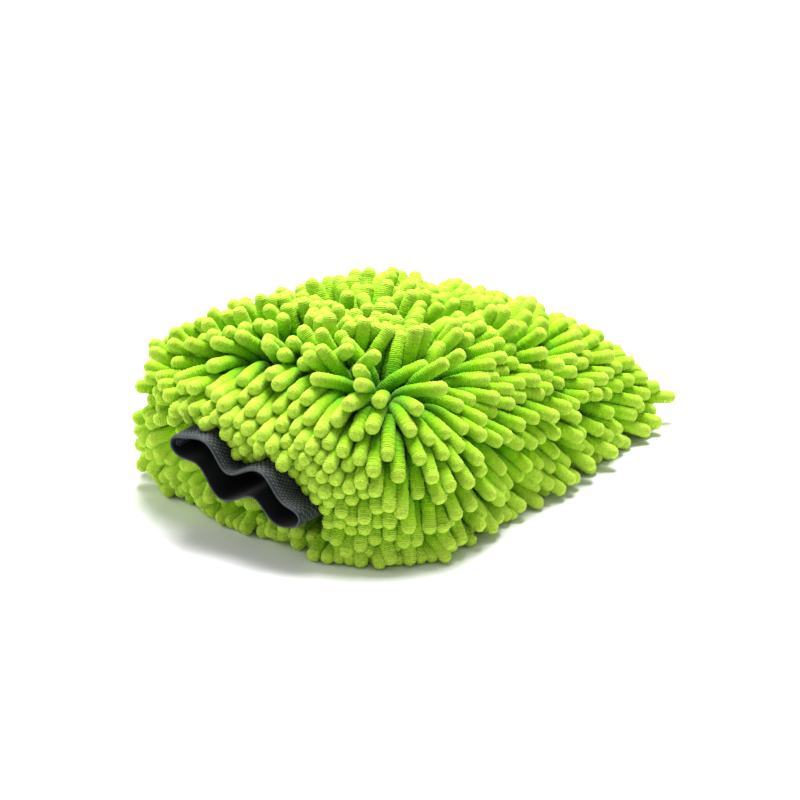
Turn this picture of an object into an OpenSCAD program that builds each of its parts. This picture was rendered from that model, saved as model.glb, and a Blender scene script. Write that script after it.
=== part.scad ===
// Chenille wash mitt: a domed fabric pouch with rows of soft noodles sewn to both
// panels, a lining, and an elastic cuff that the hand goes in through.
// +Y runs from the cuff to the fingertips, +Z from the palm to the back of the hand.
// The origin is on the surface that the mitt lies on, under the middle of its box.

/* [Pouch] */
// Length of the pouch from the neck seam to the fingertip seam
pouch_length = 220; // [184:1:264]
// Width of the pouch from side seam to side seam
pouch_width = 146; // [122:1:175]
// Rise of the back panel above the side seam
back_rise = 31; // [25:0.5:38]
// Drop of the palm panel below the side seam
palm_drop = 19; // [16:0.5:24]
// Width left at the fingertip seam, as a share of the pouch width
tip_share = 0.88; // [0.7:0.01:0.95]
// Length over which the pouch opens out from the cuff
flare_length = 18; // [14:1:30]

/* [Noodles] */
// Rows of noodles on each panel, side by side from seam to seam
rows = 15; // [12:1:18]
// Height of the noodles that stand on the back panel
back_pile = 29; // [24:0.5:35]
// Depth of the noodles that hang over the side seams
side_pile = 26; // [20:0.5:32]
// Depth of the noodles that the mitt lies on
palm_pile = 14; // [11:0.5:20]
// Reach of the noodles past the fingertip seam
tip_pile = 24; // [18:0.5:30]
// Reach of the noodles over the cuff, in front of the neck seam
neck_pile = 20; // [14:0.5:26]
// Gap between neighbouring rows
row_gap = 0.4; // [0.2:0.1:1]

/* [Fabric] */
// Thickness of the lining that the hand touches
lining_thickness = 1.2; // [0.8:0.1:2]
// Thickness of the ground fabric that the noodles are sewn to
backing_thickness = 1.6; // [1:0.1:2.4]
// Gap between neighbouring layers
layer_gap = 0.2; // [0.1:0.05:0.4]

/* [Cuff] */
// Width of the relaxed cuff, laid flat
cuff_width = 83; // [70:1:100]
// Height of the open mouth
mouth_height = 13; // [11:0.5:18]
// Length of the cuff from its rim to the neck seam
cuff_length = 36; // [30:1:50]
// Thickness of the elastic band
cuff_wall = 2.2; // [1.6:0.1:3]
// Turn of the cuff about its own length, left side up
cuff_roll = 16; // [0:1:20]
// Height of the cuff's middle above the side seams at the neck
cuff_lift = 2; // [0:0.5:5]
// Height of the waves in the relaxed band
cuff_wave = 6.5; // [0:0.5:8]

/* [Seams] */
// Thickness of an overlocked seam allowance
seam_thickness = 1.4; // [1:0.1:2]
// Width of an overlocked seam allowance
seam_width = 5; // [3:0.5:7]
// Gap between an allowance and the wall it lies against
seam_gap = 0.3; // [0.2:0.1:0.6]
// Inset of the edge allowance from the side seam
edge_inset = 1.2; // [0.8:0.1:2]

/* [Hidden] */
// Steps along the length of the pouch and of the cuff
length_steps = 20;
cuff_steps = 4;
// Grid steps across one row, and across one panel
row_steps = 2;
panel_steps = rows * row_steps;
// Steps around the band of the cuff
band_steps = 60;

// Roundness of the pouch and cuff sections: 2 is an ellipse, more is squarer
pouch_power = 2.8;
cuff_power = 2.6;
// How late the palm closes towards the fingertips, and how much later the back does
palm_taper = 1.8;
back_taper = 0.4;
// Squareness of the fingertip corners seen from above, and of the envelope's far end
corner_power = 9;
end_power = 24;
// The least half height of the slit at the fingertip seam
slit = 0.6;
// Share of the length where distances round the section are measured
arc_share = 0.35;
// How far the grid lines crowd towards the two ends, from 0 to 1
end_crowding = 0.7;
// Steps for finding slopes: round the loop, along the pouch, and in degrees on the cuff
turn_step = 0.004;
length_step = 0.01;
angle_step = 2;

// Places of the layers, measured outwards from the face that the hand touches
backing_in = lining_thickness + layer_gap;
backing_out = backing_in + backing_thickness;
pile_in = backing_out + layer_gap;

// Places along Y
overall_length = cuff_length + pouch_length + tip_pile;
rim_y = -overall_length / 2;
neck_y = rim_y + cuff_length;

// Half width of the hand's space, and the height of the pouch's lowest point
hand_half = pouch_width / 2 - pile_in;
palm_floor = palm_pile + pile_in;
cuff_height = palm_floor + palm_drop + cuff_lift;

// Share of the length over which the fabric's edge turns to the fingertip seam
tip_turn = 0.3;
// Share of the envelope's length over which it closes down to the cuff, how round that
// shoulder is, and the share of the palm's depth that is left at its front
shoulder = 0.12;
shoulder_power = 2.6;
front_drop_share = 0.75;
// Thickness of the noodles that lie against the cuff
cuff_pile = 13;
// Share of the back noodles' height that is left at the fingertips
tip_height_share = 0.65;
// How far below the surface it lies on the palm envelope would reach, if it weren't flat
flattening = 10;

function smooth(x) = let(c = min(max(x, 0), 1)) c * c * (3 - 2 * c);
function mix(a, b, s) = a + (b - a) * s;
function unit(v) = v / norm(v);
function signed_power(x, p) = sign(x) * pow(abs(x), p);

// How full each panel is at share v of the length, from the neck to the fingertip seam
function palm_fullness(v) = max(1 - pow(v, palm_taper), 0);
function back_fullness(v) = pow(palm_fullness(v), back_taper);
// Width at share v as a share of the full width: near full, then rounded fingertip corners
function width_share(v) = mix(tip_share, 1, sqrt(max(1 - pow(v, corner_power), 0)));
function half_width(v) = hand_half * width_share(v);
// Height of the side seam at share v
function seam_height(v) = palm_floor + palm_drop * palm_fullness(v);

// Point of the pouch's section at angle a, from the right seam over the back to the left
function pouch_point(a, v) =
    let(rise = slit + (sin(a) < 0 ? palm_drop * palm_fullness(v) : back_rise * back_fullness(v)))
    [half_width(v) * signed_power(cos(a), 2 / pouch_power),
     neck_y + pouch_length * v,
     seam_height(v) + rise * signed_power(sin(a), 2 / pouch_power)];

// Wave of the relaxed band at place x across it
function band_wave(x) =
    let(s = x / cuff_width + 0.5)
    -cuff_wave * sin(720 * (s - 0.3)) * sin(180 * min(max(s, 0), 1));

// Point of the cuff's section at angle a, at the neck seam
function cuff_point(a) =
    let(x = cuff_width / 2 * signed_power(cos(a), 2 / cuff_power),
        z = band_wave(x) + mouth_height / 2 * signed_power(sin(a), 2 / cuff_power))
    [x * cos(cuff_roll) + z * sin(cuff_roll),
     neck_y,
     cuff_height + z * cos(cuff_roll) - x * sin(cuff_roll)];

// Angles at even distances around the section: t runs from 0 to 1 round the whole loop
arc_steps = 360;
arc_angles = [for (k = [0:arc_steps]) k * 360 / arc_steps];
arc_points = [for (a = arc_angles) pouch_point(a, arc_share)];
arc_lengths = [for (k = [1:arc_steps]) norm(arc_points[k] - arc_points[k - 1])];
arc_sums = [for (k = 0, s = 0; k <= arc_steps; s = s + (k < arc_steps ? arc_lengths[k] : 0),
                 k = k + 1) s];
loop_length = arc_sums[arc_steps];
arc_table = [for (k = [0:arc_steps]) [arc_sums[k], arc_angles[k]]];
back_share = arc_sums[arc_steps / 2] / loop_length;
function loop_angle(t) =
    let(turns = floor(t)) 360 * turns + lookup((t - turns) * loop_length, arc_table);

// Point on the hand's side of the pouch, t around it and v along it
function hand_point(t, v) =
    let(a = loop_angle(t), opened = smooth(v * pouch_length / flare_length))
    mix(cuff_point(a) + [0, pouch_length * v, 0], pouch_point(a, v), opened);

// Outward direction of the fabric, which turns to the fingertips at the tip seam
function fabric_normal(t, v) =
    let(dt = turn_step, dv = length_step, w = min(max(v, dv), 1 - dv),
        across = hand_point(t + dt, v) - hand_point(t - dt, v),
        along = hand_point(t, w + dv) - hand_point(t, w - dv),
        n = unit(cross(along, across)),
        flat = unit([n.x, 0, n.z]),
        tip = smooth((v - 1 + tip_turn) / tip_turn))
    unit(mix(flat, mix(n, [0, 1, 0], tip), tip));

function layer_point(t, v, out) = hand_point(t, v) + out * fabric_normal(t, v);

// Half sizes of the noodles' envelope at share v of its length
function shoulder_curve(v, least) =
    let(closed = pow(1 - min(v / shoulder, 1), shoulder_power))
    mix(least, 1, pow(max(1 - closed, 0), 1 / shoulder_power));
function end_curve(v) = sqrt(max(1 - pow(v, end_power), 0));
function pile_width(v) =
    let(full = pouch_width / 2 + side_pile, least = (cuff_width / 2 + 2 * cuff_pile) / full)
    full * shoulder_curve(v, least) * width_share(v);
function pile_rise(v) =
    let(full = back_rise * back_fullness(v) + pile_in
            + back_pile * mix(tip_height_share, 1, back_fullness(v)),
        least = (mouth_height / 2 + cuff_wave + 2 * cuff_pile) / full)
    full * shoulder_curve(v, min(least, 1)) * end_curve(v) + slit;
function pile_drop(v) =
    (seam_height(v) + flattening) * shoulder_curve(v, front_drop_share) * end_curve(v) + slit;

// The envelope of the noodles, which is flat where the mitt lies on something
function pile_point(t, v) =
    let(a = loop_angle(t), rise = sin(a) < 0 ? pile_drop(v) : pile_rise(v),
        z = seam_height(v) + rise * signed_power(sin(a), 2 / pouch_power))
    [pile_width(v) * signed_power(cos(a), 2 / pouch_power),
     mix(neck_y - neck_pile, neck_y + pouch_length + tip_pile, v),
     max(z, 0)];

// A closed solid between two grids of points that match: inner and outer, each a list of
// rings of n points
module grid_solid(inner, outer) {
    m = len(inner);
    n = len(inner[0]);
    points = [for (g = [inner, outer]) for (ring = g) for (p = ring) p];
    function at(side, j, i) = (side * m + j) * n + i;
    faces = [
        for (j = [0:m - 2]) for (i = [0:n - 2]) each [
            [at(0, j, i), at(0, j + 1, i), at(0, j + 1, i + 1)],
            [at(0, j, i), at(0, j + 1, i + 1), at(0, j, i + 1)],
            [at(1, j, i), at(1, j + 1, i + 1), at(1, j + 1, i)],
            [at(1, j, i), at(1, j, i + 1), at(1, j + 1, i + 1)]],
        for (j = [0:m - 2]) each [
            [at(0, j, 0), at(1, j, 0), at(1, j + 1, 0)],
            [at(0, j, 0), at(1, j + 1, 0), at(0, j + 1, 0)],
            [at(0, j, n - 1), at(1, j + 1, n - 1), at(1, j, n - 1)],
            [at(0, j, n - 1), at(0, j + 1, n - 1), at(1, j + 1, n - 1)]],
        for (i = [0:n - 2]) each [
            [at(0, 0, i), at(1, 0, i + 1), at(1, 0, i)],
            [at(0, 0, i), at(0, 0, i + 1), at(1, 0, i + 1)],
            [at(0, m - 1, i), at(1, m - 1, i), at(1, m - 1, i + 1)],
            [at(0, m - 1, i), at(1, m - 1, i + 1), at(0, m - 1, i + 1)]]];
    polyhedron(points, faces, convexity = 10);
}

// A closed band between two grids whose rings close on themselves
module band_solid(inner, outer) {
    m = len(inner);
    n = len(inner[0]);
    points = [for (g = [inner, outer]) for (ring = g) for (p = ring) p];
    function at(side, j, i) = (side * m + j) * n + i % n;
    faces = [
        for (j = [0:m - 2]) for (i = [0:n - 1]) each [
            [at(0, j, i), at(0, j + 1, i), at(0, j + 1, i + 1)],
            [at(0, j, i), at(0, j + 1, i + 1), at(0, j, i + 1)],
            [at(1, j, i), at(1, j + 1, i + 1), at(1, j + 1, i)],
            [at(1, j, i), at(1, j, i + 1), at(1, j + 1, i + 1)]],
        for (i = [0:n - 1]) each [
            [at(0, 0, i), at(1, 0, i + 1), at(1, 0, i)],
            [at(0, 0, i), at(0, 0, i + 1), at(1, 0, i + 1)],
            [at(0, m - 1, i), at(1, m - 1, i), at(1, m - 1, i + 1)],
            [at(0, m - 1, i), at(1, m - 1, i + 1), at(0, m - 1, i + 1)]]];
    polyhedron(points, faces, convexity = 10);
}

// Shares of the pouch's length, closer together near its two ends
shares = [for (j = [0:length_steps])
    let(v = j / length_steps) mix(v, (1 - cos(180 * v)) / 2, end_crowding)];

// Places round the loop where a panel starts, for the back (0) and the palm (1)
function panel_start(panel) = panel == 0 ? 0 : back_share;
function panel_span(panel) = panel == 0 ? back_share : 1 - back_share;
// Places from grid line i0 to grid line i1 of a panel, with half a gap left at each end
function places(panel, i0, i1) =
    let(gap = row_gap / 2 / loop_length, step = panel_span(panel) / panel_steps)
    [for (i = [i0:i1]) panel_start(panel) + step * i + (i == i0 ? gap : i == i1 ? -gap : 0)];

// One layer of fabric over one panel, from the neck seam to the fingertip seam
module panel_layer(panel, from, to) {
    spots = places(panel, 0, panel_steps);
    grid_solid([for (v = shares) [for (t = spots) layer_point(t, v, from)]],
               [for (v = shares) [for (t = spots) layer_point(t, v, to)]]);
}

// The envelope of one row of noodles, sewn along the length of a panel
module noodle_row(panel, row) {
    spots = places(panel, (row - 1) * row_steps, row * row_steps);
    color("yellowgreen")
        grid_solid([for (v = shares) [for (t = spots) layer_point(t, v, pile_in)]],
                   [for (v = shares) [for (t = spots) pile_point(t, v)]]);
}

module back_lining() {
    color("dimgray") panel_layer(0, 0, lining_thickness);
}

module palm_lining() {
    color("dimgray") panel_layer(1, 0, lining_thickness);
}

module back_backing() {
    color("olivedrab") panel_layer(0, backing_in, backing_out);
}

module palm_backing() {
    color("olivedrab") panel_layer(1, backing_in, backing_out);
}

// Ring of the cuff's section, out from the band's inner face, at place y
function band_ring(out, y, count) =
    [for (i = [0:count - 1])
        let(t = i / count, dt = 0.25 / count,
            d = cuff_point(360 * (t + dt)) - cuff_point(360 * (t - dt)),
            p = cuff_point(360 * t) + out * unit([d.z, 0, -d.x]))
        [p.x, y, p.z]];

// A closed band that follows the cuff's section from y0 to y1
module cuff_loop(from, to, y0, y1, steps) {
    stations = [for (j = [0:steps]) mix(y0, y1, j / steps)];
    band_solid([for (y = stations) band_ring(from, y, band_steps)],
               [for (y = stations) band_ring(to, y, band_steps)]);
}

module cuff_band() {
    color("black") cuff_loop(0, cuff_wall, rim_y, neck_y - layer_gap, cuff_steps);
}

// The allowance where the band's two ends are sewn together, inside its left end
module cuff_join_seam() {
    half_turn = atan(seam_width / mouth_height);
    stations = [for (j = [0:cuff_steps])
        mix(rim_y + seam_width / 2, neck_y - 2 * seam_width, j / cuff_steps)];
    function side_ring(out, y) =
        [for (a = [180 - half_turn:half_turn / 2:180 + half_turn])
            let(d = cuff_point(a + angle_step) - cuff_point(a - angle_step),
                p = cuff_point(a) - out * unit([d.z, 0, -d.x]))
            [p.x, y, p.z]];
    color("gray")
        grid_solid([for (y = stations) side_ring(seam_gap + seam_thickness, y)],
                   [for (y = stations) side_ring(seam_gap, y)]);
}

// The overlocked allowance that joins the cuff to the pouch, on the hand's side
module neck_seam() {
    color("gray")
        cuff_loop(-seam_gap - seam_thickness, -seam_gap, neck_y - seam_width,
                  neck_y - seam_gap, 1);
}

// The overlocked allowance of the two panels, down both sides and across the fingertips
module edge_seam() {
    first = 0.2;
    last = 0.92;
    steps = 12;
    half = seam_thickness / 2;
    function edge_point(side, j, inset, up) =
        let(v = mix(first, last, j / steps), tip = j == steps ? inset - edge_inset : 0)
        [side * (half_width(v) - inset), neck_y + pouch_length * v - tip, seam_height(v) + up];
    function rails(inset) = [
        for (j = [0:steps]) [for (up = [-half, half]) edge_point(1, j, inset, up)],
        for (j = [steps:-1:0]) [for (up = [-half, half]) edge_point(-1, j, inset, up)]];
    color("gray") grid_solid(rails(edge_inset + seam_width), rails(edge_inset));
}

row_numbers = [for (i = [1:rows]) i];

cuff_band();
cuff_join_seam();
neck_seam();
edge_seam();
back_lining();
palm_lining();
back_backing();
palm_backing();
for (i = row_numbers) noodle_row(0, i);
for (i = row_numbers) noodle_row(1, i);
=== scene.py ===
# A chenille wash mitt: an elastic cuff, a lined pouch, and rows of soft noodles sewn to
# both of its panels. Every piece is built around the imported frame, in metres.
import math

import bpy
import numpy as np
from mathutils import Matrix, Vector
from mathutils.bvhtree import BVHTree


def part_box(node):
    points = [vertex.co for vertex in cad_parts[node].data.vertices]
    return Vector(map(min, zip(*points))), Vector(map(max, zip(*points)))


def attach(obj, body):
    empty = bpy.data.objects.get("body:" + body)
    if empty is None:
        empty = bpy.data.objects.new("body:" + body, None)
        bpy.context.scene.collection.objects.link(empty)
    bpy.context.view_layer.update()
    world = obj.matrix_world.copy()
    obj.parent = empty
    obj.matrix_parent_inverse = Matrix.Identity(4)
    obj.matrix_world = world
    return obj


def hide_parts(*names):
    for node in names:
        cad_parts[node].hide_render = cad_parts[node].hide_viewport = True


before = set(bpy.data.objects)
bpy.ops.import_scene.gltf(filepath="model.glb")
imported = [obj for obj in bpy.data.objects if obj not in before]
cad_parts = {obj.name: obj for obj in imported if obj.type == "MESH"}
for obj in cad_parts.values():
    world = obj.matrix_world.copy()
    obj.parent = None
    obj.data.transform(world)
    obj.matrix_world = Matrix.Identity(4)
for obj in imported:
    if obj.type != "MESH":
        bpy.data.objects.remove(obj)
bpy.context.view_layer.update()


# ---------------------------------------------------------------- Cuff band
# A wide elastic band, woven with small beads outside and brushed inside, sewn into a loop.
# It is relaxed, so it lies as a flattened loop with a wave in it, left side up.
mm = 0.001
cuff_low, cuff_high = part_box("cuff_band")
rim_y = cuff_low[1]
join_gap = 0.2 * mm
neck_y = cuff_high[1] + join_gap
cuff_z = (cuff_low[2] + cuff_high[2]) / 2
cuff_width = 83 * mm
mouth_height = 13 * mm
cuff_wave = 6.5 * mm
cuff_roll = math.radians(16)
cuff_wall = 2.2 * mm
cuff_squareness = 2.6
wave_start = 0.3


def signed_power(x, power):
    return np.sign(x) * np.abs(x) ** power


def mix(a, b, share):
    return a + (b - a) * share


def smooth(x):
    x = np.clip(x, 0, 1)
    return x * x * (3 - 2 * x)


def unit(v):
    return v / np.maximum(np.linalg.norm(v, axis=-1, keepdims=True), 1e-12)


def cuff_section(angle):
    """Places (x, z) of the band's inner face at each angle round it."""
    x = cuff_width / 2 * signed_power(np.cos(angle), 2 / cuff_squareness)
    s = x / cuff_width + 0.5
    wave = -cuff_wave * np.sin(4 * math.pi * (s - wave_start)) * np.sin(math.pi * np.clip(s, 0, 1))
    z = wave + mouth_height / 2 * signed_power(np.sin(angle), 2 / cuff_squareness)
    return (x * math.cos(cuff_roll) + z * math.sin(cuff_roll),
            cuff_z + z * math.cos(cuff_roll) - x * math.sin(cuff_roll))


def cuff_frame(count):
    """Places and outward directions (x, z) at even distances round the band's inner face."""
    nudge = 0.02
    angle = np.linspace(0, 2 * math.pi, 2001)
    x, z = cuff_section(angle)
    run = np.concatenate([[0], np.cumsum(np.hypot(np.diff(x), np.diff(z)))])
    even = np.interp(np.arange(count) / count * run[-1], run, angle)
    ahead = np.stack(cuff_section(even + nudge), axis=-1)
    behind = np.stack(cuff_section(even - nudge), axis=-1)
    d = unit(ahead - behind)
    return np.stack(cuff_section(even), axis=-1), np.stack([d[:, 1], -d[:, 0]], axis=-1), run[-1]


def ring_points(place, outward, out, y):
    """A row of points for each pair (out, y), on the ring that the places make."""
    out, y = np.asarray(out)[..., None], np.asarray(y)[..., None]
    return np.stack([place[:, 0] + out * outward[:, 0], y + 0 * outward[:, 0] + 0 * out,
                     place[:, 1] + out * outward[:, 1]], axis=-1)


def grid_mesh(name, points, faces, materials, groups=None, values=None):
    """An object from points and quads, with a material per group and a value per point."""
    mesh = bpy.data.meshes.new(name)
    mesh.from_pydata(points.reshape(-1, 3).tolist(), [], faces)
    for material in materials:
        mesh.materials.append(material)
    if groups is not None:
        mesh.polygons.foreach_set("material_index", groups)
    if values is not None:
        mesh.attributes.new("raised", "FLOAT", "POINT").data.foreach_set("value", values.ravel())
    mesh.shade_smooth()
    piece = bpy.data.objects.new(name, mesh)
    bpy.context.collection.objects.link(piece)
    return piece


def ring_faces(rows, columns):
    """Quads over a grid that closes on itself both ways, outwards where rows run along +Y."""
    return [(j * columns + i, (j + 1) % rows * columns + i,
             (j + 1) % rows * columns + (i + 1) % columns, j * columns + (i + 1) % columns)
            for j in range(rows) for i in range(columns)]


def finish_piece(piece, node):
    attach(piece, "root")
    if node:
        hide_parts(node)


def cloth(name, low, high, pitch, depth, sheen, rough=0.9, shine=0.15):
    """A matt knit: two tones from the "raised" attribute and a fine bumpy loop pattern."""
    material = bpy.data.materials.new(name)
    material.use_nodes = True
    nodes, link = material.node_tree.nodes, material.node_tree.links.new
    shader = nodes["Principled BSDF"]
    shader.inputs["Roughness"].default_value = rough
    shader.inputs["Specular IOR Level"].default_value = shine
    shader.inputs["Sheen Weight"].default_value = sheen
    shader.inputs["Sheen Roughness"].default_value = 0.5
    raised = nodes.new("ShaderNodeAttribute")
    raised.attribute_name = "raised"
    place = nodes.new("ShaderNodeTexCoord")
    loops = nodes.new("ShaderNodeTexNoise")
    loops.inputs["Scale"].default_value = 1 / pitch
    loops.inputs["Detail"].default_value = 3
    link(place.outputs["Object"], loops.inputs["Vector"])
    spread = nodes.new("ShaderNodeMapRange")
    spread.inputs["From Min"].default_value = 0.3
    spread.inputs["From Max"].default_value = 0.7
    spread.inputs["To Min"].default_value = 0.6
    spread.inputs["To Max"].default_value = 1.4
    link(loops.outputs["Fac"], spread.inputs["Value"])
    tone = nodes.new("ShaderNodeMix")
    tone.data_type = "RGBA"
    tone.inputs[6].default_value = (*low, 1)
    tone.inputs[7].default_value = (*high, 1)
    link(raised.outputs["Fac"], tone.inputs["Factor"])
    shade = nodes.new("ShaderNodeMix")
    shade.data_type = "RGBA"
    shade.blend_type = "MULTIPLY"
    shade.inputs["Factor"].default_value = 1
    link(tone.outputs[2], shade.inputs[6])
    link(spread.outputs[0], shade.inputs[7])
    link(shade.outputs[2], shader.inputs["Base Color"])
    bump = nodes.new("ShaderNodeBump")
    bump.inputs["Strength"].default_value = 0.6
    bump.inputs["Distance"].default_value = depth
    link(loops.outputs["Fac"], bump.inputs["Height"])
    link(bump.outputs[0], shader.inputs["Normal"])
    return material


# The beaded elastic's lighter tone is a painted highlight, laid on the raised bead tops.
beaded = cloth("beaded elastic", low=(0.005, 0.007, 0.008), high=(0.075, 0.092, 0.105),
               pitch=0.9 * mm, depth=0.3 * mm, sheen=0.05, rough=0.6, shine=0.3)
plush = cloth("brushed black plush", low=(0.004, 0.005, 0.006), high=(0.03, 0.036, 0.042),
              pitch=0.6 * mm, depth=0.5 * mm, sheen=0.12)
around = 560
place, outward, girth = cuff_frame(around)
cuff_in = 0.7 * mm
outer_rows = 100
bead_width = 2.3 * mm
bead_length = 1.75 * mm
bead_height = 0.4 * mm
plain_edge = 1.2 * mm
outer_y = np.linspace(rim_y + (cuff_wall - cuff_in) / 2, neck_y - join_gap, outer_rows)
inner_y = outer_y[::-6]
roll = np.linspace(0, math.pi, 11)[1:-1]
rim_out = mix(cuff_in, cuff_wall, (1 - np.cos(roll)) / 2)
profile_out = np.concatenate([np.full(outer_rows, cuff_wall), np.full(len(inner_y), cuff_in), rim_out])
profile_y = np.concatenate([outer_y, inner_y, outer_y[0] - (cuff_wall - cuff_in) / 2 * np.sin(roll)])
# beads in staggered rows, each a little slanted, behind a plain woven edge
bead_count = round(girth / bead_width)
line = (outer_y - rim_y - plain_edge) / bead_length
row_number, in_row = np.floor(line), line % 1 - 0.5
turn = np.arange(around) / around * bead_count
in_bead = (turn[None, :] + 0.5 * (row_number % 2)[:, None] + 0.3 * in_row[:, None]) % 1 - 0.5
raised = np.zeros((len(profile_y), around))
# the raised bead tops take the lighter tone: a painted highlight over the real bumps
raised[:outer_rows] = np.clip(1 - (in_bead / 0.42) ** 2 - (in_row / 0.36)[:, None] ** 2, 0, 1) ** 0.6
raised[:outer_rows][row_number < 0] = 0.1
raised[-len(roll):] = (0.9 * np.exp(-((roll - 1.9) / 0.5) ** 2))[:, None]
points = ring_points(place, outward, profile_out, profile_y)
points[..., 0] += bead_height * raised * outward[:, 0]
points[..., 2] += bead_height * raised * outward[:, 1]
inside = np.zeros(len(profile_y), int)
inside[outer_rows:outer_rows + len(inner_y)] = 1
cuff_weave = grid_mesh("cuff_weave", points, ring_faces(len(profile_y), around), [beaded, plush],
                       np.repeat(inside, around), raised)
finish_piece(cuff_weave, "cuff_band")


# ----------------------------------------------------------- Cuff join seam
# The band's two ends are turned in and overlocked together inside its left end. The seam
# is a flat strip of black cloth, with grey thread wound round it.
def strand_tree():
    """Geometry nodes that turn each centreline into a round strand, with rings if wanted."""
    tree = bpy.data.node_groups.new("soft strands", "GeometryNodeTree")
    face = tree.interface
    face.new_socket("Geometry", in_out="INPUT", socket_type="NodeSocketGeometry")
    for name, value in (("Radius", 0.3 * mm), ("Ring depth", 0.0), ("Swelling", 0.0), ("Fuller tip", 0.0),
                        ("Fuzz", 0.0)):
        face.new_socket(name, in_out="INPUT", socket_type="NodeSocketFloat").default_value = value
    for name, value in (("Rings", 40), ("Sides", 5), ("Seed", 3)):
        face.new_socket(name, in_out="INPUT", socket_type="NodeSocketInt").default_value = value
    face.new_socket("Material", in_out="INPUT", socket_type="NodeSocketMaterial")
    face.new_socket("Geometry", in_out="OUTPUT", socket_type="NodeSocketGeometry")
    new = tree.nodes.new
    link = tree.links.new
    given = new("NodeGroupInput")

    def math_node(operation, a, b=None, c=None):
        node = new("ShaderNodeMath")
        node.operation = operation
        for socket, value in zip(node.inputs, (a, b, c)):
            if value is None:
                continue
            if isinstance(value, (int, float)):
                socket.default_value = value
            else:
                link(value, socket)
        return node.outputs[0]

    smooth_line = new("GeometryNodeCurveSplineType")
    smooth_line.spline_type = "CATMULL_ROM"
    link(given.outputs["Geometry"], smooth_line.inputs[0])
    resample = new("GeometryNodeResampleCurve")
    link(smooth_line.outputs[0], resample.inputs["Curve"])
    link(given.outputs["Rings"], resample.inputs["Count"])
    part = new("GeometryNodeSplineParameter")
    index = new("GeometryNodeInputIndex")
    # rounded tip: a half ball over the last share of the length, and a slim sewn root
    cap_share = 0.115
    tip = math_node("SUBTRACT", part.outputs["Factor"], 1 - cap_share)
    tip = math_node("MULTIPLY", tip, 1 / cap_share)
    tip = math_node("MINIMUM", math_node("MAXIMUM", tip, 0.0), 1.0)
    cap = math_node("SQRT", math_node("MAXIMUM", math_node(
        "SUBTRACT", 1.0, math_node("MULTIPLY", tip, tip)), 0.0))
    root = math_node("ADD", math_node("MULTIPLY", part.outputs["Factor"], 6.0), 0.55)
    root = math_node("MINIMUM", root, 1.0)
    noise = new("ShaderNodeTexNoise")
    noise.noise_dimensions = "4D"
    noise.inputs["Scale"].default_value = 160.0
    noise.inputs["Detail"].default_value = 2.0
    place = new("GeometryNodeInputPosition")
    link(place.outputs[0], noise.inputs["Vector"])
    link(given.outputs["Seed"], noise.inputs["W"])
    swell = math_node("MULTIPLY", math_node("SUBTRACT", noise.outputs["Fac"], 0.5), 2.0)
    swell = math_node("ADD", math_node("MULTIPLY", swell, given.outputs["Swelling"]), 1.0)
    even = math_node("SUBTRACT", math_node("MULTIPLY", math_node("MODULO", index.outputs[0], 2.0), 2.0), 1.0)
    ring = math_node("ADD", math_node("MULTIPLY", even, given.outputs["Ring depth"]), 1.0)
    fuller = math_node("MULTIPLY_ADD", part.outputs["Factor"], given.outputs["Fuller tip"], 1.0)
    radius = math_node("MULTIPLY", math_node("MULTIPLY", cap, root), math_node("MULTIPLY", swell, ring))
    radius = math_node("MULTIPLY", radius, fuller)
    thick = new("GeometryNodeSetCurveRadius")
    link(resample.outputs[0], thick.inputs["Curve"])
    link(radius, thick.inputs["Radius"])
    along = new("GeometryNodeStoreNamedAttribute")
    along.data_type = "FLOAT"
    along.domain = "POINT"
    along.inputs["Name"].default_value = "along"
    link(thick.outputs[0], along.inputs["Geometry"])
    link(part.outputs["Length"], along.inputs["Value"])
    circle = new("GeometryNodeCurvePrimitiveCircle")
    link(given.outputs["Sides"], circle.inputs["Resolution"])
    link(given.outputs["Radius"], circle.inputs["Radius"])
    tube = new("GeometryNodeCurveToMesh")
    link(along.outputs[0], tube.inputs["Curve"])
    link(circle.outputs[0], tube.inputs["Profile Curve"])
    for socket in tube.inputs:
        if socket.name == "Scale":
            scale = new("GeometryNodeInputRadius")
            link(scale.outputs[0], socket)
    merge = new("GeometryNodeMergeByDistance")
    merge.inputs["Distance"].default_value = 0.00002
    link(tube.outputs[0], merge.inputs["Geometry"])
    # tufts of fibre stand out of the pile a little unevenly
    tufts = new("ShaderNodeTexNoise")
    tufts.inputs["Scale"].default_value = 520.0
    tufts.inputs["Detail"].default_value = 1.0
    link(place.outputs[0], tufts.inputs["Vector"])
    normal = new("GeometryNodeInputNormal")
    stand = new("ShaderNodeVectorMath")
    stand.operation = "SCALE"
    link(normal.outputs[0], stand.inputs[0])
    link(math_node("MULTIPLY", math_node("SUBTRACT", tufts.outputs["Fac"], 0.5), given.outputs["Fuzz"]),
         stand.inputs["Scale"])
    ruffle = new("GeometryNodeSetPosition")
    link(merge.outputs[0], ruffle.inputs["Geometry"])
    link(stand.outputs[0], ruffle.inputs["Offset"])
    soft = new("GeometryNodeSetShadeSmooth")
    link(ruffle.outputs[0], soft.inputs["Geometry"])
    real = new("GeometryNodeRealizeInstances")
    link(soft.outputs[0], real.inputs[0])
    cover = new("GeometryNodeSetMaterial")
    link(real.outputs[0], cover.inputs["Geometry"])
    link(given.outputs["Material"], cover.inputs["Material"])
    out = new("NodeGroupOutput")
    link(cover.outputs[0], out.inputs[0])
    return tree


strands = strand_tree()


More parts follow.
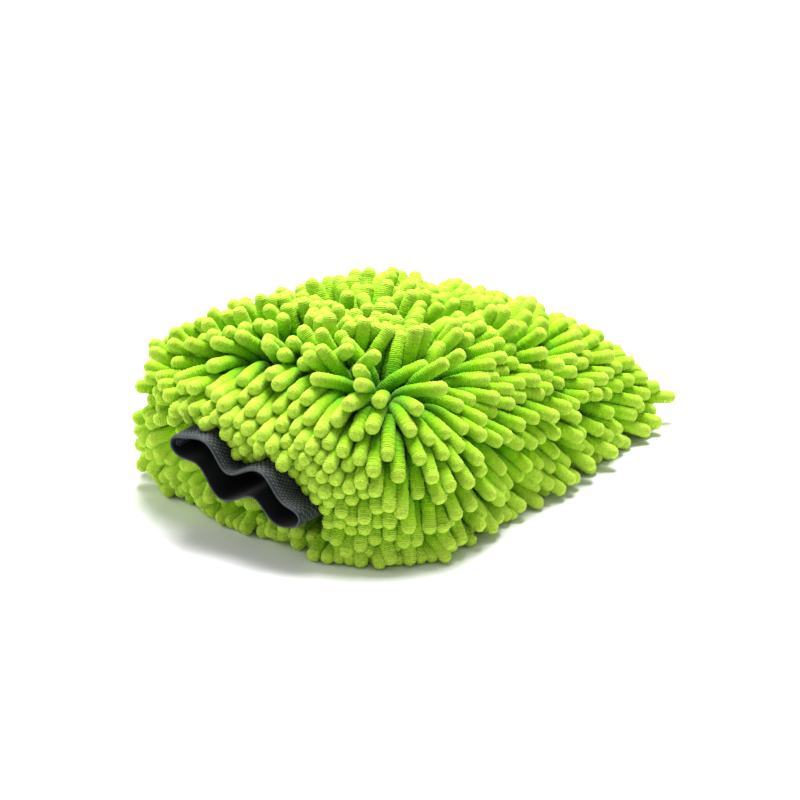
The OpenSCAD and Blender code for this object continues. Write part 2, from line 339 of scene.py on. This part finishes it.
def strand_piece(name, lines, material, **settings):
    """A plain mesh of strands along the lines, through the geometry nodes with these settings."""
    curve = bpy.data.curves.new(name, "CURVE")
    curve.dimensions = "3D"
    for line in lines:
        spline = curve.splines.new("POLY")
        spline.points.add(len(line) - 1)
        spline.points.foreach_set("co", np.hstack([line, np.ones((len(line), 1))]).ravel())
    source = bpy.data.objects.new(f"{name} lines", curve)
    bpy.context.collection.objects.link(source)
    modifier = source.modifiers.new("strands", "NODES")
    modifier.node_group = strands
    settings["Material"] = material
    for item in strands.interface.items_tree:
        if item.in_out == "INPUT" and item.name in settings:
            modifier[item.identifier] = settings[item.name]
    shown = source.evaluated_get(bpy.context.evaluated_depsgraph_get())
    piece = bpy.data.objects.new(name, bpy.data.meshes.new_from_object(shown))
    bpy.data.objects.remove(source)
    bpy.context.collection.objects.link(piece)
    return piece


def shell_piece(name, inner, outer, materials, closed=False, values=None):
    """A closed solid between two matching grids of points; closed joins its last column on."""
    rows, columns = inner.shape[:2]
    def at(side, j, i):
        return (side * rows + j) * columns + i % columns
    steps = range(columns if closed else columns - 1)
    faces = []
    for j in range(rows - 1):
        faces += [(at(1, j, i), at(1, j + 1, i), at(1, j + 1, i + 1), at(1, j, i + 1)) for i in steps]
        faces += [(at(0, j, i), at(0, j, i + 1), at(0, j + 1, i + 1), at(0, j + 1, i)) for i in steps]
    end, side = rows - 1, columns - 1
    faces += [(at(0, 0, i), at(1, 0, i), at(1, 0, i + 1), at(0, 0, i + 1)) for i in steps]
    faces += [(at(0, end, i), at(0, end, i + 1), at(1, end, i + 1), at(1, end, i)) for i in steps]
    if not closed:
        faces += [(at(0, j, 0), at(0, j + 1, 0), at(1, j + 1, 0), at(1, j, 0)) for j in range(end)]
        faces += [(at(0, j, side), at(1, j, side), at(1, j + 1, side), at(0, j + 1, side))
                  for j in range(end)]
    return grid_mesh(name, np.stack([inner, outer]), faces, materials, None, values)


def overlock(name, centre, across, through, half_width, half_depth):
    """One grey thread wound round an allowance, about two millimetres a turn."""
    run = np.concatenate([[0], np.cumsum(np.linalg.norm(np.diff(centre, axis=0), axis=1))])
    turn_length = 2.1 * mm
    turn_points = 10
    turns = int(run[-1] / turn_length)
    s = np.linspace(0, run[-1], turns * turn_points + 1)
    middle, side, deep = (np.stack([np.interp(s, run, part[:, k]) for k in range(3)], axis=-1)
                          for part in (centre, across, through))
    angle = 2 * math.pi * np.arange(len(s)) / turn_points
    line = (middle + side * (half_width * signed_power(np.cos(angle), 0.5))[:, None]
            + deep * (half_depth * signed_power(np.sin(angle), 0.5))[:, None])
    piece = strand_piece(name, [line], thread_grey, Radius=0.22 * mm, Rings=len(line) * 2)
    finish_piece(piece, None)


thread_grey = cloth("grey overlock thread", low=(0.05, 0.058, 0.065), high=(0.09, 0.10, 0.11),
                    pitch=0.5 * mm, depth=0.1 * mm, sheen=0.1)
seam_cloth = cloth("black seam allowance", low=(0.01, 0.012, 0.014), high=(0.03, 0.035, 0.04),
                   pitch=0.8 * mm, depth=0.3 * mm, sheen=0.2)
seam_in, seam_middle, seam_out = -1.7 * mm, -1.0 * mm, -0.3 * mm
join_half = 3.0 * mm
join_rows = 30
reach = np.abs(np.arange(around) - around / 2) * girth / around < join_half
strip, strip_out = place[reach], outward[reach]
strip_y = np.linspace(rim_y + 2.5 * mm, neck_y - 10 * mm, join_rows)
join = shell_piece("cuff_join", ring_points(strip, strip_out, np.full(join_rows, seam_in), strip_y),
                   ring_points(strip, strip_out, np.full(join_rows, seam_out), strip_y), [seam_cloth])
finish_piece(join, "cuff_join_seam")
middle = len(strip) // 2
centre = ring_points(strip, strip_out, np.full(join_rows, seam_middle), strip_y)[:, middle]
deep = np.tile([strip_out[middle, 0], 0, strip_out[middle, 1]], (join_rows, 1))
overlock("cuff_join_thread", centre, np.cross(deep, [0, 1, 0]), deep, 3.2 * mm, 0.95 * mm)


# ------------------------------------------------------------ Pouch fabrics
# The pouch is two panels, back and palm, each a soft lining inside a knitted ground fabric.
# Its section is a full oval, gathered into the cuff at the neck and closed at the fingertips.
_, backing_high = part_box("back_backing")
palm_low, palm_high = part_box("palm_backing")
lining = 1.2 * mm
backing_in = 1.4 * mm
backing_out = 3.0 * mm
pile_in = 3.2 * mm
hand_half = backing_high[0] - backing_out
palm_floor = palm_low[2] + 3.6 * mm
palm_drop = 19 * mm
back_rise = 31 * mm
pouch_length = palm_high[1] - neck_y - backing_out
flare_length = 18 * mm
slit = 0.6 * mm
tip_share = 0.88
tip_turn = 0.3
pouch_squareness = 2.8
palm_taper = 1.8
back_taper = 0.4
corner_power = 9


def palm_fullness(v):
    return np.maximum(1 - v ** palm_taper, 0)


def back_fullness(v):
    return palm_fullness(v) ** back_taper


def half_width(v):
    return hand_half * mix(tip_share, 1, np.sqrt(np.maximum(1 - v ** corner_power, 0)))


def seam_height(v):
    return palm_floor + palm_drop * palm_fullness(v)


def pouch_point(angle, v):
    """Point of the pouch's inner section at an angle, v of the way to the fingertips."""
    up = np.sin(angle)
    rise = slit + np.where(up < 0, palm_drop * palm_fullness(v), back_rise * back_fullness(v))
    return np.stack([half_width(v) * signed_power(np.cos(angle), 2 / pouch_squareness),
                     neck_y + pouch_length * v,
                     seam_height(v) + rise * signed_power(up, 2 / pouch_squareness)], axis=-1)


# Angles at even distances round the section, so that rows of noodles come evenly spaced
measured_at = 0.35
table_angles = np.linspace(0, 2 * math.pi, 361)
table_points = pouch_point(table_angles, np.full(361, measured_at))
table_sums = np.concatenate([[0], np.cumsum(np.linalg.norm(np.diff(table_points, axis=0), axis=1))])
back_share = table_sums[len(table_sums) // 2] / table_sums[-1]


def loop_angle(t):
    turns = np.floor(t)
    return 2 * math.pi * turns + np.interp((t - turns) * table_sums[-1], table_sums, table_angles)


def hand_point(t, v):
    """Point on the hand's side of the pouch: t runs round it and v along it."""
    angle = loop_angle(t)
    x, z = cuff_section(angle)
    at_neck = np.stack([x, neck_y + pouch_length * v, z], axis=-1)
    opened = smooth(v * pouch_length / flare_length)[..., None]
    return mix(at_neck, pouch_point(angle, v), opened)


def surface_normal(t, v):
    dt, dv = 0.004, 0.01
    w = np.clip(v, dv, 1 - dv)
    across = hand_point(t + dt, v) - hand_point(t - dt, v)
    along = hand_point(t, w + dv) - hand_point(t, w - dv)
    return unit(np.cross(along, across))


def fabric_normal(t, v):
    n = surface_normal(t, v)
    flat = unit(n * [1, 0, 1])
    tip = smooth((v - 1 + tip_turn) / tip_turn)[..., None]
    return unit(mix(flat, mix(n, np.array([0, 1, 0]), tip), tip))


def layer_point(t, v, out):
    return hand_point(t, v) + np.asarray(out)[..., None] * fabric_normal(t, v)


def panel_piece(name, panel, low, high, material, node):
    """One layer of one panel, as a thin closed sheet between two distances from the hand."""
    start, span = ((0, back_share), (back_share, 1 - back_share))[panel]
    rows, columns = 96, 110
    v = mix(np.linspace(0, 1, rows), (1 - np.cos(np.linspace(0, math.pi, rows))) / 2, 0.7)
    t, v = np.meshgrid(start + span * np.linspace(0.002, 0.998, columns), v)
    piece = shell_piece(name, layer_point(t, v, np.full(t.shape, low)),
                        layer_point(t, v, np.full(t.shape, high)), [material])
    finish_piece(piece, node)


lining_knit = cloth("black lining knit", low=(0.006, 0.007, 0.009), high=(0.03, 0.035, 0.04),
                    pitch=1.1 * mm, depth=0.4 * mm, sheen=0.3)
# The ground knit is its own green darkened with painted shade, for the shaded gaps between the noodles that
# it shows through.
ground_knit = cloth("green ground knit", low=(0.055, 0.17, 0.006), high=(0.1, 0.3, 0.01),
                    pitch=1.3 * mm, depth=0.5 * mm, sheen=0.3)
panel_piece("back_lining_cloth", 0, 0, lining, lining_knit, "back_lining")
panel_piece("palm_lining_cloth", 1, 0, lining, lining_knit, "palm_lining")
panel_piece("back_ground_cloth", 0, backing_in, backing_out, ground_knit, "back_backing")
panel_piece("palm_ground_cloth", 1, backing_in, backing_out, ground_knit, "palm_backing")


# --------------------------------------------------------------- Neck seam
# The overlocked allowance that joins the cuff to the pouch, on the hand's side of the cuff.
# It goes all the way round the neck, and the same grey thread is wound round it.
neck_low, neck_high = neck_y - 5 * mm, neck_y - 0.3 * mm
neck_rows = np.linspace(neck_low, neck_high, 6)
neck_band = shell_piece("neck_allowance", ring_points(place, outward, np.full(6, seam_in), neck_rows),
                        ring_points(place, outward, np.full(6, seam_out), neck_rows), [seam_cloth], True)
finish_piece(neck_band, "neck_seam")
centre = ring_points(place, outward, np.array([seam_middle]), np.array([neck_y - 2.65 * mm]))[0]
deep = np.stack([outward[:, 0], 0 * outward[:, 0], outward[:, 1]], axis=-1)
overlock("neck_thread", centre, np.tile([0.0, 1.0, 0.0], (around, 1)), deep, 2.5 * mm, 0.9 * mm)


# --------------------------------------------------------------- Edge seam
# The two panels' allowance, turned inside, down both sides and across the fingertips. It
# is a flat strip of black cloth, with the same grey thread wound round it.
edge_points = 60
edge_outer, edge_inner = 1.2 * mm, 6.2 * mm


def edge_line(inset):
    """Points of the side seam, this far in from it, from the right side round to the left."""
    v = np.linspace(0.2, 0.92, edge_points)
    x = half_width(v) - inset
    y = neck_y + pouch_length * v
    y[-1] -= inset - edge_outer
    side = np.stack([x, y, seam_height(v)], axis=-1)
    return np.concatenate([side, side[::-1] * [-1, 1, 1]])


edge_rails = np.stack([edge_line(edge_inner), edge_line(edge_outer)])
lift = np.array([0, 0, 0.7 * mm])
edge_band = shell_piece("edge_allowance", np.stack([edge_rails[0] - lift, edge_rails[0] + lift], axis=1),
                        np.stack([edge_rails[1] - lift, edge_rails[1] + lift], axis=1), [seam_cloth])
finish_piece(edge_band, "edge_seam")
overlock("edge_thread", edge_rails.mean(axis=0), unit(edge_rails[1] - edge_rails[0]),
         np.tile([0.0, 0.0, 1.0], (2 * edge_points, 1)), 2.7 * mm, 0.95 * mm)


# ------------------------------------------------------------ Noodle rows
# Each noodle is a thick chenille strand, sewn by one end into a row along the pouch. They
# hang, lean and crowd each other, so their lie is found by letting them settle for a while.
row_count = 15
noodle_radius = 3.5 * mm
back_length = 35 * mm
palm_length = 33 * mm
beads = 7
row_pitch = (6.3 * mm, 8.4 * mm)
ring_pitch = 1.05 * mm
corner_x, corner_y, corner_reach = 46 * mm, 26 * mm, 24 * mm
rng = np.random.default_rng(7)


def row_roots(panel, row):
    """Places (t, v) of one row's noodles: even along the fabric, in a slight zigzag."""
    start, span = ((0, back_share), (back_share, 1 - back_share))[panel]
    middle = start + span * (row + 0.5) / row_count
    fine = np.linspace(0.004, 0.99, 240)
    line = layer_point(np.full(240, middle), fine, np.full(240, pile_in))
    # closer together near the neck and most of all on the right corner, sparse over the cuff
    close = 1.55 - 0.55 * smooth((line[1:, 1] - neck_y) / (90 * mm))
    corner = np.hypot(line[1:, 0] - corner_x, line[1:, 1] - neck_y - corner_y) / corner_reach
    close = close + 0.55 * np.exp(-corner ** 2) * (panel == 0)
    over_cuff = (line[1:, 1] < neck_y + 9 * mm) & (abs(line[100, 0]) < 45 * mm) & (panel == 0)
    close = np.where(over_cuff, 0.5, close)
    run = np.concatenate([[0], np.cumsum(close * np.linalg.norm(np.diff(line, axis=0), axis=1))])
    count = int(run[-1] / row_pitch[panel])
    number = np.arange(count)
    at = (number + 0.3 + 0.4 * (row % 2) + rng.uniform(-0.15, 0.15, count)) / count
    sway = np.where(number % 2, 0.2, -0.2) + rng.uniform(-0.1, 0.1, count)
    return middle + sway * span / row_count, np.interp(at * run[-1], run, fine)


roots = [row_roots(panel, row) for panel in (0, 1) for row in range(row_count)]
root_t = np.concatenate([r[0] for r in roots])
root_v = np.concatenate([r[1] for r in roots])
row_starts = np.concatenate([[0], np.cumsum([len(r[0]) for r in roots])])
on_back = root_t < back_share
noodle_count = len(root_t)
root_point = layer_point(root_t, root_v, np.full(noodle_count, pile_in))
root_normal = surface_normal(root_t, root_v)


def comb(point, normal, v):
    """Which way handling has laid each noodle, as a push in parts of its own weight."""
    up = normal[:, 2]
    top, under = smooth(up / 0.7), smooth(-up / 0.5)
    right = smooth(normal[:, 0] / 0.6)
    left = smooth(-normal[:, 0] / 0.6)
    near = 1 - smooth((point[:, 1] - neck_y) / (54 * mm))
    far = smooth((v - 0.4) / 0.5)
    push = np.zeros_like(point)
    push[:, 1] += -1.0 * near * (1 - 0.4 * left) * (1 - 0.6 * under) + 1.2 * far
    push[:, 1] += 1.0 * right * smooth((v - 0.12) / 0.3)
    push[:, 0] += 0.9 * right * (1 - 0.6 * near) - 1.2 * left + 1.4 * under * (right - left)
    end = smooth((v - 0.84) / 0.12)
    push[:, 2] += (0.6 + 0.3 * far) * top * (1 - near) * (1 - end) - 0.9 * right * (1 - 0.3 * far)
    push[:, 2] += 1.1 * end * under - 0.5 * end * (1 - under)
    push[:, 2] += 0.9 * left * top - 0.9 * left * smooth(0.5 - up / 0.6)
    push[:, 2] -= 2.2 * (1 - smooth((point[:, 1] - neck_y) / (36 * mm))) * (1 - left)
    push[:, 2] += 0.7 * top * near
    patch = point * [1, 1, 0] / (23 * mm)
    push[:, 0] += 0.22 * np.sin(patch[:, 1] * 1.3 + 1.7 * np.sin(patch[:, 0]))
    push[:, 1] += 0.22 * np.sin(patch[:, 0] * 1.1 + 1.5 * np.sin(patch[:, 1]) + 1)
    return push


def pairs_within(points, reach):
    """Index pairs of points that are closer than reach, found through a grid of cells."""
    cell = np.floor(points / reach).astype(np.int64)
    cell -= cell.min(axis=0) - 1
    size = cell.max(axis=0) + 2
    key = (cell[:, 0] * size[1] + cell[:, 1]) * size[2] + cell[:, 2]
    order = np.argsort(key, kind="stable")
    ranked = key[order]
    found = []
    for dx in (-1, 0, 1):
        for dy in (-1, 0, 1):
            for dz in (-1, 0, 1):
                wanted = key + (dx * size[1] + dy) * size[2] + dz
                first = np.searchsorted(ranked, wanted, "left")
                count = np.searchsorted(ranked, wanted, "right") - first
                a = np.repeat(np.arange(len(points)), count)
                step = np.arange(count.sum()) - np.repeat(np.cumsum(count) - count, count)
                b = order[np.repeat(first, count) + step]
                found.append(np.stack([a, b])[:, a < b])
    a, b = np.concatenate(found, axis=1)
    close = np.linalg.norm(points[a] - points[b], axis=1) < reach
    return a[close], b[close]


def body_shell():
    """The outside of the pouch and cuff, which the noodles lie on, as a search tree."""
    columns = 180
    t = np.arange(columns) / columns
    v = np.concatenate([np.linspace(0, 0.2, 12), np.linspace(0.22, 1, 40)])
    pouch = layer_point(*np.meshgrid(t, v), np.full((len(v), len(t)), pile_in))
    angle = loop_angle(t)
    x, z = cuff_section(angle)
    ring = np.stack([x, z], axis=-1)
    side = np.roll(ring, -1, axis=0) - np.roll(ring, 1, axis=0)
    ring = ring + (cuff_wall + 0.3 * mm) * unit(np.stack([side[:, 1], -side[:, 0]], axis=-1))
    cuff = [np.stack([ring[:, 0], np.full(columns, y), ring[:, 1]], axis=-1)
            for y in np.linspace(rim_y, neck_y - 1 * mm, 12)]
    points = np.concatenate([np.array(cuff), pouch])
    rows = len(points)
    faces = [(j * columns + i, (j + 1) * columns + i,
              (j + 1) * columns + (i + 1) % columns, j * columns + (i + 1) % columns)
             for j in range(rows - 1) for i in range(columns)]
    return BVHTree.FromPolygons(points.reshape(-1, 3).tolist(), faces)


def settle(steps=200):
    """Bends, leans and presses the noodles on each other, for a fixed number of steps."""
    push = comb(root_point, root_normal, root_v) + rng.normal(0, 0.2, (noodle_count, 3))
    length = np.where(on_back, back_length, palm_length + 5 * mm * smooth(np.abs(root_normal[:, 0]) / 0.5))
    length = length * rng.uniform(0.92, 1.06, noodle_count)
    # the ones close above the cuff are clipped short, and the ones behind drape over them
    above = smooth(root_normal[:, 2] / 0.3 + 0.5)
    above = above * smooth((0.62 - np.abs(root_point[:, 0]) / hand_half) / 0.2)
    back_from_neck = root_point[:, 1] - neck_y
    length *= 1 - 0.4 * above * (1 - smooth(back_from_neck / (9 * mm)))
    ridge = above * np.exp(-((back_from_neck - 15 * mm) / (11 * mm)) ** 2)
    length *= 1 + 0.16 * ridge
    push[:, 2] -= 1.2 * ridge
    push[:, 1] -= 0.5 * ridge
    seg = (length - noodle_radius) / (beads - 1)
    start = unit(root_normal + 0.6 * push)
    reach = np.arange(beads)[None, :, None] * seg[:, None, None]
    x = root_point[:, None] + reach * start[:, None]
    last = x.copy()
    weight = np.array([0, 0, -0.7])
    step_size = 0.16 * mm
    damping = 0.8
    stiff_root = 0.2
    press_share = 0.38
    most_shift = 1.2 * mm
    clear = 0.95 * noodle_radius
    shell = body_shell()
    owner = np.repeat(np.arange(noodle_count), beads)
    bead = np.tile(np.arange(beads), noodle_count)
    free = bead > 0
    apart = np.where(on_back, 1.95, 1.75) * noodle_radius
    for step in range(steps):
        ease = 1 - 0.5 * step / steps
        moved = (x - last) * damping
        last = x.copy()
        x = x + moved + step_size * ease * (weight + push)[:, None] * np.linspace(0, 1, beads)[None, :, None]
        x[:, 0] = root_point
        for _ in range(3):
            lean = root_point + seg[:, None] * unit(root_normal + 0.7 * push)
            x[:, 1] += stiff_root * (lean - x[:, 1])
            for k in range(1, beads - 1):
                bend = (x[:, k - 1] + x[:, k + 1]) / 2 - x[:, k]
                x[:, k] += 0.22 * bend
                x[:, k + 1] -= 0.14 * bend
            for k in range(1, beads):
                d = x[:, k] - x[:, k - 1]
                far = np.linalg.norm(d, axis=1, keepdims=True)
                fix = d * (1 - seg[:, None] / far)
                if k == 1:
                    x[:, 1] -= fix
                else:
                    x[:, k] -= 0.6 * fix
                    x[:, k - 1] += 0.4 * fix
        flat = x.reshape(-1, 3)
        if step % 4 == 0:
            a, b = pairs_within(flat, 2.5 * noodle_radius)
            keep = (owner[a] != owner[b]) & (free[a] | free[b])
            a, b = a[keep], b[keep]
            limit = np.minimum(apart[owner[a]], apart[owner[b]])
        d = flat[b] - flat[a]
        far = np.maximum(np.linalg.norm(d, axis=1), 1e-7)
        press = np.maximum(limit - far, 0) / far * press_share
        shift = np.zeros_like(flat)
        for axis in range(3):
            amount = d[:, axis] * press
            shift[:, axis] = (np.bincount(b, amount, len(flat)) - np.bincount(a, amount, len(flat)))
        flat += np.clip(shift, -most_shift, most_shift) * free[:, None]
        if step % 3 == 0 or step > steps - 4:
            for k in np.nonzero(bead > 1)[0]:
                place, normal, _, _ = shell.find_nearest(flat[k])
                out = (flat[k] - np.array(place)) @ np.array(normal)
                if out < clear:
                    flat[k] += np.array(normal) * (clear - out)
        flat[:, 2] = np.where(free, np.maximum(flat[:, 2], noodle_radius), flat[:, 2])
        x = flat.reshape(noodle_count, beads, 3)
    return x


def chenille():
    """Lime chenille: a velvety pile in fine rings, with painted shade deep at its root and a painted
    highlight towards its tip.
    """
    material = bpy.data.materials.new("lime chenille")
    material.use_nodes = True
    nodes, link = material.node_tree.nodes, material.node_tree.links.new
    shader = nodes["Principled BSDF"]
    shader.inputs["Roughness"].default_value = 0.92
    shader.inputs["Specular IOR Level"].default_value = 0.12
    shader.inputs["Sheen Weight"].default_value = 0.22
    shader.inputs["Sheen Roughness"].default_value = 0.45
    shader.inputs["Sheen Tint"].default_value = (0.9, 1.0, 0.35, 1)
    place = nodes.new("ShaderNodeTexCoord")
    along = nodes.new("ShaderNodeAttribute")
    along.attribute_name = "along"
    fleck = nodes.new("ShaderNodeTexNoise")
    fleck.inputs["Scale"].default_value = 900
    fleck.inputs["Detail"].default_value = 4
    link(place.outputs["Object"], fleck.inputs["Vector"])
    # painted shade and light: deeper, darker green at the root, where neighbours shade it, and lighter,
    # yellower towards the tip, where the light falls
    depth = nodes.new("ShaderNodeMapRange")
    depth.inputs["From Min"].default_value = 0.002
    depth.inputs["From Max"].default_value = 0.034
    link(along.outputs["Fac"], depth.inputs["Value"])
    painted_light_ramp = nodes.new("ShaderNodeValToRGB")
    painted_light_ramp.color_ramp.elements[0].color = (0.012, 0.12, 0.0005, 1)
    painted_light_ramp.color_ramp.elements[1].color = (0.48, 0.73, 0.06, 1)
    painted_light_ramp.color_ramp.elements.new(0.4).color = (0.14, 0.44, 0.004, 1)
    painted_light_ramp.color_ramp.elements.new(0.72).color = (0.33, 0.65, 0.012, 1)
    link(depth.outputs[0], painted_light_ramp.inputs[0])
    speck = nodes.new("ShaderNodeMapRange")
    speck.inputs["From Min"].default_value = 0.3
    speck.inputs["From Max"].default_value = 0.7
    speck.inputs["To Min"].default_value = 0.84
    speck.inputs["To Max"].default_value = 1.14
    link(fleck.outputs["Fac"], speck.inputs["Value"])
    shade = nodes.new("ShaderNodeMix")
    shade.data_type = "RGBA"
    shade.blend_type = "MULTIPLY"
    shade.inputs["Factor"].default_value = 1
    link(painted_light_ramp.outputs[0], shade.inputs[6])
    link(speck.outputs[0], shade.inputs[7])
    link(shade.outputs[2], shader.inputs["Base Color"])
    # rings of pile, about a millimetre apart, broken up by the fibres
    rings = nodes.new("ShaderNodeMath")
    rings.operation = "MULTIPLY"
    rings.inputs[1].default_value = 2 * math.pi / ring_pitch
    wander = nodes.new("ShaderNodeTexNoise")
    wander.inputs["Scale"].default_value = 350
    link(place.outputs["Object"], wander.inputs["Vector"])
    bent = nodes.new("ShaderNodeMath")
    bent.operation = "MULTIPLY_ADD"
    bent.inputs[1].default_value = 0.0009
    link(wander.outputs["Fac"], bent.inputs[0])
    link(along.outputs["Fac"], bent.inputs[2])
    link(bent.outputs[0], rings.inputs[0])
    wave = nodes.new("ShaderNodeMath")
    wave.operation = "SINE"
    link(rings.outputs[0], wave.inputs[0])
    height = nodes.new("ShaderNodeMath")
    height.operation = "MULTIPLY_ADD"
    height.inputs[1].default_value = 0.25
    link(wave.outputs[0], height.inputs[0])
    link(fleck.outputs["Fac"], height.inputs[2])
    bump = nodes.new("ShaderNodeBump")
    bump.inputs["Strength"].default_value = 0.7
    bump.inputs["Distance"].default_value = 0.6 * mm
    link(height.outputs[0], bump.inputs["Height"])
    link(bump.outputs[0], shader.inputs["Normal"])
    return material


lie = settle()
lime_chenille = chenille()
for panel, side in enumerate(("back", "palm")):
    for row in range(row_count):
        lines = []
        for k in range(*row_starts[panel * row_count + row:][:2]):
            tip = lie[k, -1] + noodle_radius * unit(lie[k, -1] - lie[k, -2])
            lines.append(np.vstack([root_point[k] - 0.8 * mm * root_normal[k], lie[k, 1:], tip]))
        piece = strand_piece(f"{side}_noodles_{row + 1}", lines, lime_chenille, Radius=noodle_radius,
                             Rings=44, Sides=12, Swelling=0.15, Fuzz=1.0 * mm,
                             **{"Ring depth": 0.045, "Fuller tip": 0.12})
        finish_piece(piece, f"{side}_row_{row + 1}")


# ------------------------------------------------------------------ Studio
# A wide flat white floor, which is not part of the mitt, under soft light from above and
# from the left, and a long lens a little above the mitt.
floor_mesh = bpy.data.meshes.new("floor")
floor_corners = [(x, y, -0.3 * mm) for x, y in ((-3, -3), (3, -3), (3, 3), (-3, 3))]
floor_mesh.from_pydata(floor_corners, [], [(0, 1, 2, 3)])
floor = bpy.data.objects.new("floor", floor_mesh)
bpy.context.collection.objects.link(floor)
white = bpy.data.materials.new("white sweep")
white.use_nodes = True
white.node_tree.nodes["Principled BSDF"].inputs["Base Color"].default_value = (0.92, 0.92, 0.92, 1)
white.node_tree.nodes["Principled BSDF"].inputs["Roughness"].default_value = 0.7
floor_mesh.materials.append(white)

world = bpy.data.worlds.new("soft room")
bpy.context.scene.world = world
world.use_nodes = True
world.node_tree.nodes["Background"].inputs["Color"].default_value = (1, 1, 1, 1)
world.node_tree.nodes["Background"].inputs["Strength"].default_value = 0.38


def aim(obj, place, target):
    obj.location = place
    obj.rotation_euler = (Vector(target) - Vector(place)).to_track_quat("-Z", "Y").to_euler()


def softbox(name, place, target, size, power):
    light = bpy.data.lights.new(name, "AREA")
    light.shape = "SQUARE"
    light.size = size
    light.energy = power
    lamp = bpy.data.objects.new(name, light)
    bpy.context.collection.objects.link(lamp)
    aim(lamp, place, target)


softbox("top light", (-0.20, 0.35, 1.20), target=(0, 0.02, 0.05), size=0.7, power=38)
softbox("left fill", (-1.0, -0.5, 0.5), target=(0, 0, 0.05), size=0.8, power=5)

camera_data = bpy.data.cameras.new("camera")
camera_data.lens = 154
camera_data.sensor_width = 36
camera = bpy.data.objects.new("camera", camera_data)
bpy.context.collection.objects.link(camera)
azimuth, elevation, distance = math.radians(36), math.radians(23), 1.852
target = np.array([0.0020, 0.0014, 0.0355])
away = np.array([math.sin(azimuth) * math.cos(elevation),
                 -math.cos(azimuth) * math.cos(elevation), math.sin(elevation)])
aim(camera, (target + away * distance).tolist(), target.tolist())
bpy.context.scene.camera = camera
bpy.context.scene.view_settings.view_transform = "Standard"
